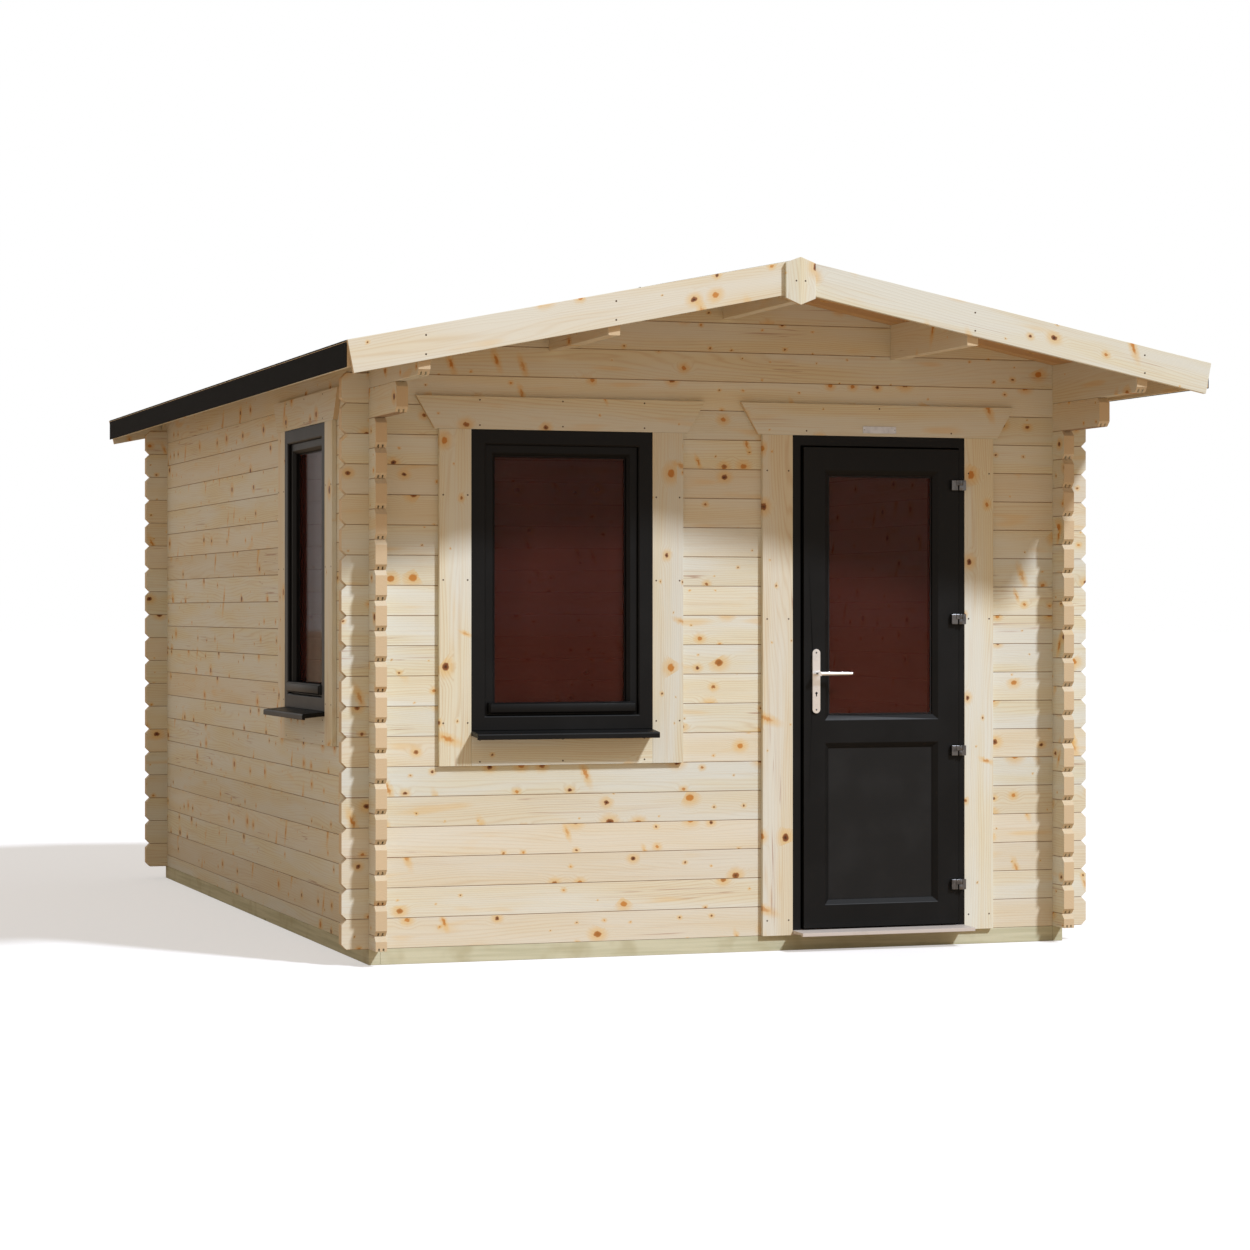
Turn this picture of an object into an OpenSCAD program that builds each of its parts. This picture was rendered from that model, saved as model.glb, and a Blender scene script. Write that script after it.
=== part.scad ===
// Small gable-roofed cabin of milled logs with a glazed door and two windows.
// X runs along the front to the right, Y runs back, Z is up. Millimetres.

/* [Overall] */

// width over the side walls
wall_w = 2880; // [2300:10:3600]

// depth over the front and back walls
wall_d = 4200; // [3000:10:5200]

// rise of the roof for each unit of run
slope = 0.2; // [0.12:0.01:0.35]

// roof overhang past the front wall, to the back of the bargeboard
front_over = 730; // [450:5:900]

// roof overhang past the back wall, to the back of the bargeboard
back_over = 106; // [104:1:300]

// roof overhang past the side walls
side_over = 260; // [150:5:350]

/* [Logs] */

// height of one course
course = 114; // [100:1:130]

// thickness of a log
log_t = 44; // [34:1:60]

// number of full courses up to the wall plates
courses = 19; // [19:1:21]

// length of the log ends past the corners
stub = 105; // [70:5:150]

// end chamfer of the log ends
end_ch = 20; // [6:1:20]

// face chamfer along each log joint
face_ch = 1.8; // [1:0.5:6]

// height of the wall plate at its outer face
plate_h = 146; // [100:1:160]

// length of the lower corbel past the front wall
corbel = 415; // [250:5:600]

// height of the purlins at their middle
purlin_h = 133; // [100:1:160]

/* [Base] */

// height of the bearers
bearer_h = 60; // [45:1:100]

// width of the bearers
bearer_w = 44; // [34:1:70]

// number of floor joists
joists = 6; // [4:1:9]

// thickness of the floor
floor_t = 18; // [16:1:28]

/* [Roof] */

// thickness of the roof boards
roof_t = 19; // [15:1:28]

// thickness of the felt
felt_t = 3; // [2:0.5:5]

// depth of the eave edge under the roof top
eave_drop = 96; // [60:2:130]

// width of the bargeboards
barge_w = 120; // [90:5:150]

// thickness of the bargeboards, caps and trim boards
board_t = 20; // [16:1:24]

// width of the ridge cap boards
cap_w = 116; // [80:2:140]

// height of the ridge cap boards
cap_h = 176; // [140:2:220]

/* [Windows] */

// visible width of a window frame
win_w = 726; // [500:2:1000]

// height of a window frame
win_h = 1144; // [800:2:1200]

// middle of the front window, from the outer face of the left wall
win_x = 758; // [700:2:800]

// middle of the left window, from the outer face of the front wall
win_y = 1007; // [700:2:1300]

// visible width of the frame members
win_face = 57; // [40:1:70]

// width of the bead ring inside the frame
win_bead = 42; // [30:1:60]

// reach of the window sills past the wall face
sill_out = 110; // [60:5:140]

// width of the trim boards
trim_w = 126; // [90:2:140]

/* [Door] */

// left edge of the door frame, from the outer face of the left wall
door_x = 1703; // [1640:1:1800]

// width of the door frame
door_w = 735; // [650:5:780]

// visible width of the left jamb
jamb_l = 33; // [25:1:60]

// visible width of the hinge jamb
jamb_r = 24; // [20:1:60]

// visible height of the frame head
head_h = 40; // [25:1:60]

// thickness of the door leaf
leaf_t = 60; // [44:1:70]

// width of the leaf's stiles and rails
stile_w = 90; // [70:2:120]

// height of the glass over the leaf's bottom edge
glass_z = 816; // [600:2:1200]

// reach of the door sill past the wall face
step_out = 125; // [80:5:160]

// length of the levers
lever_l = 138; // [100:2:160]

/* [Hidden] */

$fn = 48;

cl = 0.25;
gap = 0.4;
run = 0.05;
col_wood = [0.86, 0.80, 0.70];
col_black = [0.10, 0.10, 0.10];
col_green = [0.72, 0.72, 0.58];
col_glass = [0.25, 0.13, 0.11, 0.5];
col_steel = [0.85, 0.85, 0.86];
mid_x = wall_w / 2;
half = course / 2;
quart = course / 4;
log_h = course - gap;
tongue_h = 9;
tongue_w = 6;
groove_d = 12;
groove_w = 7;
groove_a = 13.5;
groove_b = log_t - 13.5;
wall_z = bearer_h + gap;
eave_cos = 1 / sqrt(1 + slope * slope);
eave_sin = slope * eave_cos;
plate_z = wall_z + (courses - 1) * course + half;
under_z = plate_z + plate_h;
skin_up = (roof_t + felt_t) / eave_cos;
ridge_z = under_z + slope * mid_x + skin_up;
gable_k = floor((under_z + slope * mid_x - wall_z - 2 * groove_d) / course);
purlin_x = (log_t / 2 + mid_x) / 2;
mid_y = (wall_d + back_over - front_over) / 2;
floor_z = bearer_h + gap;
sill_t = 19;
win_z = wall_z + 7 * course;
win_z2 = wall_z + 7 * course + half;
open_l = win_x - win_w / 2 - gap;
open_r = win_x + win_w / 2 + gap;
door_l = door_x - gap;
door_r = door_x + door_w + gap;
head_z = win_z + sill_t + win_h;
head_k = floor((head_z + gap - wall_z) / course);
head_k2 = floor((head_z + half + gap - wall_z) / course + 0.5);
open_y0 = win_y - win_w / 2 - gap;
open_y1 = win_y + win_w / 2 + gap;
frame_y = -board_t + 1;
frame_in = log_t + 8;
axis_x = door_x + door_w - jamb_r - 2.5;
axis_y = -42;
leaf_r = axis_x - 2.5;
leaf_l = door_x + jamb_l + 9;
leaf_y = -30;
leaf_z = wall_z + 26;
leaf_top = head_z - head_h - 6;
lever_x = leaf_l + 50;
lever_z = leaf_z + 1000;
bead_d = 16;
bead_w = 20;
pane_t = 4;
neck_r = 9;
hinge_zs = [leaf_z + 157, leaf_z + 690, leaf_z + 1213, leaf_z + 1746];

// roof underside height at a distance x in from the left wall's outer face
function under(x) = under_z + slope * min(x, wall_w - x);

// where the roof underside crosses a height
function under_x(z) = (z - under_z + gap) / slope;

// cross-section of a log lying with its shoulder at height z
function log_pts(z, h) = [
    [0, z + face_ch], [face_ch, z],
    [groove_a - groove_w / 2, z], [groove_a - groove_w / 2, z + groove_d],
    [groove_a + groove_w / 2, z + groove_d], [groove_a + groove_w / 2, z],
    [groove_b - groove_w / 2, z], [groove_b - groove_w / 2, z + groove_d],
    [groove_b + groove_w / 2, z + groove_d], [groove_b + groove_w / 2, z],
    [log_t - face_ch, z], [log_t, z + face_ch],
    [log_t, z + h - face_ch], [log_t - face_ch, z + h],
    [groove_b + tongue_w / 2, z + h], [groove_b + tongue_w / 2, z + h + tongue_h],
    [groove_b - tongue_w / 2, z + h + tongue_h], [groove_b - tongue_w / 2, z + h],
    [groove_a + tongue_w / 2, z + h], [groove_a + tongue_w / 2, z + h + tongue_h],
    [groove_a - tongue_w / 2, z + h + tongue_h], [groove_a - tongue_w / 2, z + h],
    [face_ch, z + h], [0, z + h - face_ch]];

// side outline of a log from s0 to s1 with corner notches at 0 and at len
// lo and hi tell whether the first and the last corner are crossed
function log_side(s0, s1, z, h, len, lo, hi, top) = concat(
    lo ? [[s0, z + end_ch], [s0 + end_ch, z]] : [[s0, z]],
    lo ? [[-cl, z], [-cl, z + quart + cl], [log_t + cl, z + quart + cl], [log_t + cl, z]] : [],
    hi ? [[len - log_t - cl, z], [len - log_t - cl, z + quart + cl]] : [],
    hi ? [[len + cl, z + quart + cl], [len + cl, z]] : [],
    hi ? [[s1 - end_ch, z], [s1, z + end_ch]] : [[s1, z]],
    hi ? [[s1, z + h - end_ch], [s1 - end_ch - 10, z + h + 10]] : [[s1, z + h + 10]],
    hi && top ? [[len + cl, z + h + 10], [len + cl, z + h - quart - cl + gap]] : [],
    hi && top ? [[len - log_t - cl, z + h - quart - cl + gap], [len - log_t - cl, z + h + 10]] : [],
    lo && top ? [[log_t + cl, z + h + 10], [log_t + cl, z + h - quart - cl + gap]] : [],
    lo && top ? [[-cl, z + h - quart - cl + gap], [-cl, z + h + 10]] : [],
    lo ? [[s0 + end_ch + 10, z + h + 10], [s0, z + h - end_ch]] : [[s0, z + h + 10]]);

// outline of a half log, the first of a side wall, which has no lower notch
function half_side(s0, s1, z, h, len, lo, hi) = concat(
    [[s0, z], [s1, z]],
    hi ? [[s1, z + h - end_ch], [s1 - end_ch - 10, z + h + 10]] : [[s1, z + h + 10]],
    hi ? [[len + cl, z + h + 10], [len + cl, z + h - quart - cl + gap]] : [],
    hi ? [[len - log_t - cl, z + h - quart - cl + gap], [len - log_t - cl, z + h + 10]] : [],
    lo ? [[log_t + cl, z + h + 10], [log_t + cl, z + h - quart - cl + gap]] : [],
    lo ? [[-cl, z + h - quart - cl + gap], [-cl, z + h + 10]] : [],
    lo ? [[s0 + end_ch + 10, z + h + 10], [s0, z + h - end_ch]] : [[s0, z + h + 10]]);

// a prism along X from a (y, z) outline
module along_x(x0, x1, pts) {
    translate([x0, 0, 0])
        rotate([90, 0, 90])
            linear_extrude(height = x1 - x0)
                polygon(pts);
}

// a prism along Y from an (x, z) outline
module along_y(y0, y1, pts) {
    translate([0, y1, 0])
        rotate([90, 0, 0])
            linear_extrude(height = y1 - y0)
                polygon(pts);
}

// one log of the front wall; k is its course
module front_log(k, x0, x1, lo, hi) {
    z = wall_z + k * course;
    intersection() {
        along_x(x0 - 1, x1 + 1, log_pts(z, log_h));
        along_y(-5, log_t + 5, log_side(x0, x1, z, log_h, wall_w, lo, hi, true));
    }
}

// one log of a side wall; k is its course, the first being a half log
module side_log(k, y0, y1, lo, hi) {
    z = wall_z + (k - 0.5) * course;
    if (k == 0)
        intersection() {
            along_y(y0 - 1, y1 + 1, log_pts(wall_z, half - gap));
            along_x(-5, log_t + 5, half_side(y0, y1, wall_z, half - gap, wall_d, lo, hi));
        }
    else
        intersection() {
            along_y(y0 - 1, y1 + 1, log_pts(z, log_h));
            along_x(-5, log_t + 5, log_side(y0, y1, z, log_h, wall_d, lo, hi, true));
        }
}

// one gable log, cut to the roof and round the purlins
module gable_log(k) {
    z = wall_z + k * course;
    zt = z + log_h + 10;
    a = max(under_x(z), log_t + gap);
    za = under(a) - gap;
    e = under_x(min(zt, under(mid_x) - gap));
    difference() {
        intersection() {
            along_x(log_t, wall_w - log_t, log_pts(z, log_h));
            along_y(-5, log_t + 5, [[a, z], [wall_w - a, z], [wall_w - a, max(za, z + 0.1)],
                [wall_w - e, min(zt, under(mid_x) - gap)], [e, min(zt, under(mid_x) - gap)],
                [a, max(za, z + 0.1)]]);
        }
        for (x = [purlin_x, mid_x, wall_w - purlin_x])
            translate([x - log_t / 2 - gap, -9, under(x) - purlin_h - gap])
                cube([log_t + 2 * gap, log_t + 18, purlin_h + 60]);
    }
}

module moved() {
    translate([-mid_x, -mid_y, 0])
        children();
}

module to_right() {
    translate([wall_w, 0, 0])
        mirror([1, 0, 0])
            children();
}

module to_back() {
    translate([0, wall_d, 0])
        mirror([0, 1, 0])
            children();
}

// lays a piece of a front opening on the left wall
module on_left(z) {
    translate([0, win_y, z])
        rotate([0, 0, -90])
            children();
}

module bearers() {
    color(col_green) moved() {
        cube([bearer_w, wall_d, bearer_h]);
        translate([wall_w - bearer_w, 0, 0])
            cube([bearer_w, wall_d, bearer_h]);
        translate([bearer_w + gap, 0, 0])
            cube([wall_w - 2 * bearer_w - 2 * gap, bearer_w, bearer_h]);
        translate([bearer_w + gap, wall_d - bearer_w, 0])
            cube([wall_w - 2 * bearer_w - 2 * gap, bearer_w, bearer_h]);
    }
}

module joists() {
    pitch = (wall_d - 2 * bearer_w) / (joists + 1);
    color(col_green) moved()
        for (i = [1:joists])
            translate([bearer_w + gap, bearer_w / 2 + i * pitch, 0])
                cube([wall_w - 2 * bearer_w - 2 * gap, bearer_w, bearer_h]);
}

module floor_deck() {
    color(col_wood) moved()
        translate([log_t + 2, log_t + 2, floor_z])
            cube([wall_w - 2 * log_t - 4, wall_d - 2 * log_t - 4, floor_t]);
}

module front_logs_under_window() {
    color(col_wood) moved() {
        for (k = [0:5])
            front_log(k, -stub, door_l, true, false);
        difference() {
            front_log(6, -stub, door_l, true, false);
            translate([open_l, -9, win_z - gap])
                cube([open_r - open_l, log_t + 18, 20]);
        }
    }
}

module front_logs_left() {
    color(col_wood) moved()
        for (k = [7:head_k - 1])
            front_log(k, -stub, open_l, true, false);
}

module front_logs_middle() {
    color(col_wood) moved()
        for (k = [7:head_k - 1])
            front_log(k, open_r, door_l, false, false);
}

module front_logs_right() {
    color(col_wood) moved()
        for (k = [0:head_k - 1])
            front_log(k, door_r, wall_w + stub, false, true);
}

module front_gable_logs() {
    color(col_wood) moved() {
        difference() {
            front_log(head_k, -stub, wall_w + stub, true, true);
            translate([open_l, -9, wall_z])
                cube([open_r - open_l, log_t + 18, head_z + gap - wall_z]);
            translate([door_l, -9, wall_z])
                cube([door_r - door_l, log_t + 18, head_z + gap - wall_z]);
        }
        for (k = [head_k + 1:courses - 1])
            front_log(k, -stub, wall_w + stub, true, true);
        for (k = [courses:gable_k])
            gable_log(k);
    }
}

module left_logs_under_window() {
    color(col_wood) moved() {
        for (k = [0:6])
            side_log(k, -stub, wall_d + stub, true, true);
        difference() {
            side_log(7, -stub, wall_d + stub, true, true);
            translate([-9, open_y0, win_z2 - gap])
                cube([log_t + 18, open_y1 - open_y0, 20]);
        }
    }
}

module left_logs_front() {
    color(col_wood) moved()
        for (k = [8:head_k2 - 1])
            side_log(k, -stub, open_y0, true, false);
}

module left_logs_back() {
    color(col_wood) moved()
        for (k = [8:head_k2 - 1])
            side_log(k, open_y1, wall_d + stub, false, true);
}

// the lower corbel logs; the left one is notched over its window
module corbel_log() {
    side_log(courses - 1, -corbel, wall_d + stub, true, true);
}

module left_logs_over_window() {
    color(col_wood) moved() {
        difference() {
            if (head_k2 == courses - 1)
                corbel_log();
            else
                side_log(head_k2, -stub, wall_d + stub, true, true);
            translate([-9, open_y0, wall_z])
                cube([log_t + 18, open_y1 - open_y0, head_z + half + gap - wall_z]);
        }
        for (k = [head_k2 + 1:courses - 1])
            if (k == courses - 1)
                corbel_log();
            else
                side_log(k, -stub, wall_d + stub, true, true);
    }
}

module corbel_logs() {
    color(col_wood) moved()
        to_right()
            corbel_log();
}

module right_logs() {
    color(col_wood) moved()
        to_right()
            for (k = [0:courses - 2])
                side_log(k, -stub, wall_d + stub, true, true);
}

module back_logs() {
    color(col_wood) moved()
        to_back()
            for (k = [0:courses - 1])
                front_log(k, -stub, wall_w + stub, true, true);
}

module back_gable_logs() {
    color(col_wood) moved()
        to_back()
            for (k = [courses:gable_k])
                gable_log(k);
}

// bevelled top log of a side wall, carried forward to the bargeboard
module plate_log() {
    y0 = -front_over + 2;
    y1 = wall_d + back_over - 2;
    z = plate_z;
    zt = z + plate_h + 40;
    intersection() {
        along_y(y0, y1, [[0, z + face_ch], [face_ch, z],
            [groove_a - groove_w / 2, z], [groove_a - groove_w / 2, z + groove_d],
            [groove_a + groove_w / 2, z + groove_d], [groove_a + groove_w / 2, z],
            [groove_b - groove_w / 2, z], [groove_b - groove_w / 2, z + groove_d],
            [groove_b + groove_w / 2, z + groove_d], [groove_b + groove_w / 2, z],
            [log_t - face_ch, z], [log_t, z + face_ch],
            [log_t, under(log_t) - gap], [0, under(0) - gap]]);
        along_x(-5, log_t + 5, [[y0, z + end_ch], [y0 + end_ch, z], [-cl, z], [-cl, z + quart + cl],
            [log_t + cl, z + quart + cl], [log_t + cl, z], [wall_d - log_t - cl, z],
            [wall_d - log_t - cl, z + quart + cl], [wall_d + cl, z + quart + cl], [wall_d + cl, z],
            [y1 - end_ch, z], [y1, z + end_ch], [y1, zt], [y0, zt]]);
    }
}

module wall_plates() {
    color(col_wood) moved() {
        plate_log();
        to_right()
            plate_log();
    }
}

// one purlin with its top cut to the roof
module purlin(x) {
    y0 = -front_over + 2;
    y1 = wall_d + back_over - 2;
    a = x - log_t / 2;
    b = x + log_t / 2;
    z = under(x) - purlin_h;
    along_y(y0, y1, [[a + face_ch, z], [b - face_ch, z], [b, z + face_ch],
        [b, under(b) - gap], [x, under(x) - gap], [a, under(a) - gap], [a, z + face_ch]]);
}

module purlins() {
    color(col_wood) moved() {
        purlin(purlin_x);
        purlin(mid_x);
        purlin(wall_w - purlin_x);
    }
}

// half of the roof boards, from the eave to the ridge
module roof_half() {
    x0 = -side_over;
    x1 = mid_x - gap / 2;
    u = roof_t / eave_cos;
    along_y(-front_over, wall_d + back_over, [[x0, under(0) + slope * x0],
        [x1, under(x1)], [x1, under(x1) + u], [x0, under(0) + slope * x0 + u]]);
}

module roof_left() {
    color(col_wood) moved()
        roof_half();
}

module roof_right() {
    color(col_wood) moved()
        to_right()
            roof_half();
}

// half of the felt, laid on the boards and turned down over the fascia
module felt_half() {
    x0 = -side_over - felt_t;
    x1 = mid_x - gap / 2;
    u = roof_t / eave_cos + gap;
    v = skin_up;
    ze = under(0) - slope * side_over;
    along_y(-front_over, wall_d + back_over, [[x1, under(x1) + u], [x1, under(x1) + v],
        [x0, ze + v - slope * felt_t], [x0, ze + v - eave_drop],
        [x0 + felt_t - gap, ze + v - eave_drop], [x0 + felt_t - gap, ze + u]]);
}

module felt_left() {
    color(col_black) moved()
        felt_half();
}

module felt_right() {
    color(col_black) moved()
        to_right()
            felt_half();
}

// board under the eave that the felt is turned down over
module fascia() {
    x0 = -side_over;
    x1 = x0 + board_t - 2;
    ze = under(0) + slope * x0;
    zb = ze + skin_up - eave_drop + 2;
    along_y(-front_over, wall_d + back_over, [[x0, zb], [x1, zb],
        [x1, ze + slope * (x1 - x0) - gap], [x0, ze - gap]]);
}

module fascias() {
    color(col_wood) moved() {
        fascia();
        to_right()
            fascia();
    }
}

// left half of a pair of bargeboards, its end cut square to the slope
module barge(y0) {
    x0 = -side_over - felt_t;
    z0 = ridge_z - slope * (mid_x - x0);
    x1 = mid_x - gap / 2;
    z1 = ridge_z - slope * gap / 2;
    along_y(y0, y0 + board_t, [[x0, z0], [x0 + barge_w * eave_sin, z0 - barge_w * eave_cos],
        [x1, z1 - barge_w / eave_cos], [x1, z1]]);
}

module bargeboards_front() {
    y0 = -front_over - gap - board_t;
    color(col_wood) moved() {
        barge(y0);
        to_right()
            barge(y0);
    }
}

module bargeboards_back() {
    y0 = wall_d + back_over + gap;
    color(col_wood) moved() {
        barge(y0);
        to_right()
            barge(y0);
    }
}

// six-sided board over the bargeboard joint
module ridge_cap(y0) {
    zt = ridge_z + 7;
    zb = zt - cap_h;
    along_y(y0, y0 + board_t - 2, [[mid_x, zb], [mid_x + cap_w / 2, zb + 24],
        [mid_x + cap_w / 2, zt - 22], [mid_x, zt], [mid_x - cap_w / 2, zt - 22],
        [mid_x - cap_w / 2, zb + 24]]);
}

module ridge_caps() {
    color(col_wood) moved() {
        ridge_cap(-front_over - 2 * gap - 2 * board_t + 2);
        ridge_cap(wall_d + back_over + 2 * gap + board_t);
    }
}

// a frame about x = 0 standing on z0, with an opening inset by the given widths
module ring(w, z0, h, s, b, t, y0, y1) {
    difference() {
        translate([-w / 2, y0, z0])
            cube([w, y1 - y0, h]);
        translate([-w / 2 + s, y0 - 1, z0 + b])
            cube([w - 2 * s, y1 - y0 + 2, h - b - t]);
    }
}

// a tapered cut that bevels the front edge of an opening from y0 inwards
module bevel(w, z0, h, y0, d, s) {
    e = s / d;
    intersection() {
        along_x(-w / 2 - 9, w / 2 + 9, [[y0 - 1, z0 - e], [y0 + d, z0 + s],
            [y0 + d, z0 + h - s], [y0 - 1, z0 + h + e]]);
        translate([0, 0, z0 - 9])
            linear_extrude(height = h + 18)
                polygon([[-w / 2 - e, y0 - 1], [w / 2 + e, y0 - 1],
                    [w / 2 - s, y0 + d], [-w / 2 + s, y0 + d]]);
    }
}

// window pieces stand about x = 0 with the opening's bottom at z = 0
module window_frame() {
    translate([0, 0, sill_t])
        difference() {
            ring(win_w, 0, win_h, win_face, win_face, win_face, frame_y, frame_in);
            bevel(win_w - 2 * win_face + 10, win_face - 5, win_h - 2 * win_face + 10, frame_y, 6, 6);
        }
}

module window_bead() {
    w = win_w - 2 * win_face - 2 * gap;
    h = win_h - 2 * win_face - 2 * gap;
    z = sill_t + win_face + gap;
    y0 = frame_y + 14;
    difference() {
        ring(w, z, h, win_bead - gap, win_bead - gap, win_bead - gap, y0, frame_in - 4);
        bevel(w - 2 * win_bead + 26, z + win_bead - 13, h - 2 * win_bead + 26, y0, 14, 14);
        for (y = [22, 38])
            translate([-w / 2 + win_bead - 14, y - gap, z + win_bead - 14])
                cube([w - 2 * win_bead + 28, pane_t + 2 * gap, h - 2 * win_bead + 28]);
    }
}

module window_glass() {
    w = win_w - 2 * win_face - 2 * win_bead + 26;
    h = win_h - 2 * win_face - 2 * win_bead + 26;
    for (y = [22, 38])
        translate([-w / 2, y, sill_t + win_face + win_bead - 13])
            cube([w, pane_t, h]);
}

module window_sill() {
    along_x(-win_w / 2, win_w / 2, [[log_t, gap], [log_t, sill_t - gap], [frame_y, sill_t - gap],
        [-sill_out + 4, 10], [-sill_out, 6], [-sill_out, -13], [-sill_out + 12, -13],
        [-sill_out + 12, -7], [frame_y - 4, gap]]);
}

module window_trim() {
    w = win_w / 2 + gap;
    zt = sill_t + win_h + gap;
    y0 = -board_t;
    for (s = [-1, 1])
        translate([s > 0 ? w : -w - trim_w, y0, -course])
            cube([trim_w, board_t - gap, zt + course]);
    translate([-win_w / 2, y0, -course])
        cube([win_w, board_t - gap, course - 1]);
    along_y(y0, -gap, [[-w - trim_w - 17, zt + gap], [w + trim_w + 17, zt + gap],
        [w + trim_w + 90, zt + gap + trim_w - 2], [-w - trim_w - 90, zt + gap + trim_w - 2]]);
}

module front_window_frame() {
    color(col_black) moved()
        translate([win_x, 0, win_z])
            window_frame();
}

module front_window_bead() {
    color(col_black) moved()
        translate([win_x, 0, win_z])
            window_bead();
}

module front_window_glass() {
    color(col_glass) moved()
        translate([win_x, 0, win_z])
            window_glass();
}

module front_window_sill() {
    color(col_black) moved()
        translate([win_x, 0, win_z])
            window_sill();
}

module front_window_trim() {
    color(col_wood) moved()
        translate([win_x, 0, win_z])
            window_trim();
}

module left_window_frame() {
    color(col_black) moved()
        on_left(win_z2)
            window_frame();
}

module left_window_bead() {
    color(col_black) moved()
        on_left(win_z2)
            window_bead();
}

module left_window_glass() {
    color(col_glass) moved()
        on_left(win_z2)
            window_glass();
}

module left_window_sill() {
    color(col_black) moved()
        on_left(win_z2)
            window_sill();
}

module left_window_trim() {
    color(col_wood) moved()
        on_left(win_z2)
            window_trim();
}

// door frame: jambs, head and a low bar, with a stop behind the leaf
module door_frame() {
    z0 = wall_z + 20;
    color(col_black) moved()
        difference() {
            translate([door_x, frame_y, z0])
                cube([door_w, frame_in - frame_y, head_z - z0]);
            translate([door_x + jamb_l, frame_y - 1, z0 - 1])
                cube([door_w - jamb_l - jamb_r, leaf_y + leaf_t + 6 - frame_y + 1, head_z - head_h - z0 + 1]);
            translate([door_x + jamb_l + 20, 0, z0 + 18])
                cube([door_w - jamb_l - jamb_r - 40, 99, head_z - head_h - 20 - z0 - 18]);
        }
}

module door_sill() {
    z = wall_z;
    color([0.78, 0.75, 0.72]) moved()
        along_x(door_x, door_x + door_w, [[log_t, z], [log_t, z + 19.6], [-10, z + 19.6],
            [-step_out, z + 17], [-step_out, z + 3], [-step_out + 12, z + 3], [-step_out + 12, z + 7],
            [-board_t, z + 7], [-board_t, z]]);
}

module door_trim() {
    w = door_w / 2 + gap;
    z = wall_z + gap;
    y0 = -board_t;
    color(col_wood) moved()
        translate([door_x + door_w / 2, 0, 0]) {
            for (s = [-1, 1])
                translate([s > 0 ? w : -w - trim_w, y0, z])
                    cube([trim_w, board_t - gap, head_z + gap - z]);
            along_y(y0, -gap, [[-w - trim_w - 17, head_z + 2 * gap], [w + trim_w + 17, head_z + 2 * gap],
                [w + trim_w + 90, head_z + 2 * gap + trim_w - 2],
                [-w - trim_w - 90, head_z + 2 * gap + trim_w - 2]]);
        }
}

module door_plate() {
    color(col_steel) moved()
        translate([door_x + door_w / 2 - 71, -board_t - gap - 2, head_z + 13])
            cube([142, 2, 27]);
}

// door leaf with a glazed upper opening and a panelled lower opening
module door_leaf() {
    w = leaf_r - leaf_l;
    h = leaf_top - leaf_z;
    iw = w - 2 * stile_w;
    zg = leaf_z + glass_z;
    hg = leaf_top - stile_w - zg;
    zp = leaf_z + stile_w;
    hp = zg - stile_w - zp;
    color(col_black) moved()
        translate([(leaf_l + leaf_r) / 2, 0, 0])
            difference() {
                translate([-w / 2, leaf_y, leaf_z])
                    cube([w, leaf_t, h]);
                translate([-iw / 2 + bead_w, leaf_y - 1, zg + bead_w])
                    cube([iw - 2 * bead_w, leaf_t + 2, hg - 2 * bead_w]);
                translate([-iw / 2 + bead_w, leaf_y - 1, zp + bead_w])
                    cube([iw - 2 * bead_w, leaf_t + 2, hp - 2 * bead_w]);
                bevel(iw, zg, hg, leaf_y, bead_d, bead_w);
                bevel(iw, zp, hp, leaf_y, bead_d, bead_w);
                for (y = [leaf_y + 22, leaf_y + 38])
                    translate([-iw / 2 + 8, y - gap, zg + 8])
                        cube([iw - 16, pane_t + 2 * gap, hg - 16]);
                translate([-iw / 2 + 8, leaf_y + 18 - gap, zp + 8])
                    cube([iw - 16, 24 + 2 * gap, hp - 16]);
                translate([lever_x - (leaf_l + leaf_r) / 2, leaf_y - 1, lever_z])
                    rotate([-90, 0, 0])
                        cylinder(r = 10, h = leaf_t + 2);
            }
}

module door_glass() {
    w = leaf_r - leaf_l - 2 * stile_w - 18;
    zg = leaf_z + glass_z + 9;
    color(col_glass) moved()
        for (y = [leaf_y + 22, leaf_y + 38])
            translate([(leaf_l + leaf_r) / 2 - w / 2, y, zg])
                cube([w, pane_t, leaf_top - stile_w - 9 - zg]);
}

module door_panel() {
    w = leaf_r - leaf_l - 2 * stile_w - 18;
    zp = leaf_z + stile_w + 9;
    color(col_black) moved()
        translate([(leaf_l + leaf_r) / 2 - w / 2, leaf_y + 18, zp])
            cube([w, 24, leaf_z + glass_z - stile_w - 9 - zp]);
}

// lower knuckles with their pins and flaps on the jamb
module hinge_fixed() {
    color(col_black) moved()
        for (z = hinge_zs)
            translate([axis_x, axis_y, z]) {
                difference() {
                    union() {
                        translate([0, 0, -20])
                            cylinder(r = 9, h = 19.5);
                        translate([0, -8, -20])
                            cube([20, 14, 19.5]);
                        translate([8, -4, -20])
                            cube([14, frame_y - axis_y + 4 - gap, 40]);
                    }
                    cylinder(r = 10, h = 22);
                }
                translate([0, 0, -1])
                    cylinder(r = 4, h = 18);
            }
}

// upper knuckles with their flaps on the leaf
module hinge_moving() {
    color(col_black) moved()
        for (z = hinge_zs)
            translate([axis_x, axis_y, z])
                difference() {
                    union() {
                        cylinder(r = 9, h = 20);
                        translate([-20, -6, 0])
                            cube([20, 12, 20]);
                        translate([-39, -4, -20])
                            cube([26, leaf_y - axis_y + 4 - gap, 40]);
                    }
                    translate([0, 0, -25])
                        cylinder(r = 4 + run, h = 50);
                    translate([0, 0, -25])
                        cylinder(r = 12, h = 25);
                }
}

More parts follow.
